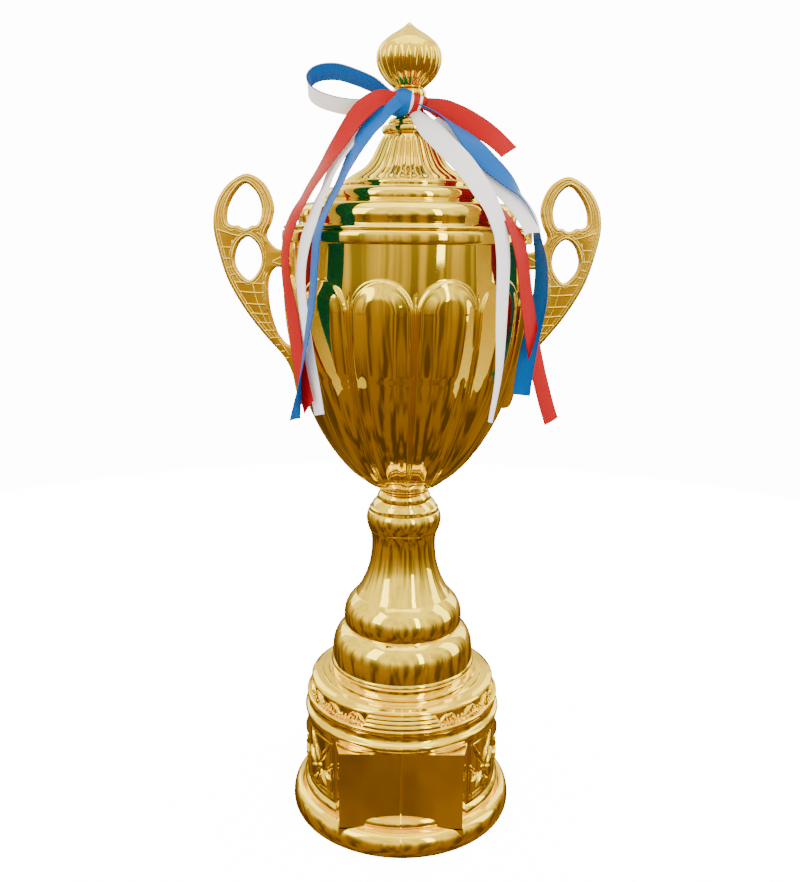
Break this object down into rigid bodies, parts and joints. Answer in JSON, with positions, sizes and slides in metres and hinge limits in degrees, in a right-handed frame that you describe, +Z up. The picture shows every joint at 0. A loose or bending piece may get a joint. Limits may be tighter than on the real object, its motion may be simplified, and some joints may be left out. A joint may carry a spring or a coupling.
{
  "type": "cup trophy",
  "caption": "Tall gold two-handled cup trophy on a stepped stem and round plinth, with a domed lift-off lid and satin ribbons tied under its onion finial.",
  "frame": {"origin": "centre of the foot, on the surface the trophy stands on", "axes": "+Z up along the stem, -Y out of the front flat of the plinth, +X towards the right handle"},
  "size_m": [0.236, 0.152, 0.502],
  "materials": {
    "gold_sheet": "polished",
    "gold_plastic": "metallised, polished",
    "gold_cast": "satin cast",
    "brass_insert": "turned",
    "zinc_steel": "zinc plated",
    "iron": "painted",
    "board": "plain board",
    "felt": "felt",
    "ribbon_red": "satin",
    "ribbon_white": "satin",
    "ribbon_blue": "satin"
  },
  "bodies": {
    "cup": {"base_shell": "gold_plastic", "base_weight": "iron", "base_washer": "zinc_steel", "base_nut": "zinc_steel", "base_cover": "board", "base_pad": "felt", "cover_screws": "zinc_steel", "stem_skirt": "gold_sheet", "stem_step": "gold_sheet", "stem_column": "gold_sheet", "tie_rod": "zinc_steel", "bowl_ring": "gold_sheet", "bowl": "gold_sheet", "bowl_washer": "zinc_steel", "bowl_nut": "zinc_steel", "handle_left": "gold_cast", "handle_right": "gold_cast", "handle_washers": "zinc_steel", "handle_screws": "zinc_steel"},
    "lid": {"lid_shell": "gold_sheet", "lid_bell": "gold_sheet", "lid_collar": "gold_sheet", "finial_neck": "gold_sheet", "finial": "gold_plastic", "finial_insert": "brass_insert", "lid_washer": "zinc_steel", "lid_bolt": "zinc_steel", "ribbon_knot": "ribbon_blue", "ribbon_loop": "ribbon_blue", "ribbon_red_left": "ribbon_red", "ribbon_white_left": "ribbon_white", "ribbon_blue_left": "ribbon_blue", "ribbon_red_short": "ribbon_red", "ribbon_blue_right": "ribbon_blue", "ribbon_white_right": "ribbon_white", "ribbon_red_right": "ribbon_red", "ribbon_white_short": "ribbon_white"}
  },
  "joints": [
    {"name": "lid_lift", "type": "slide", "parent": "cup", "child": "lid", "axis": [0, 0, 1], "range_m": [0, 0.15]}
  ]
}
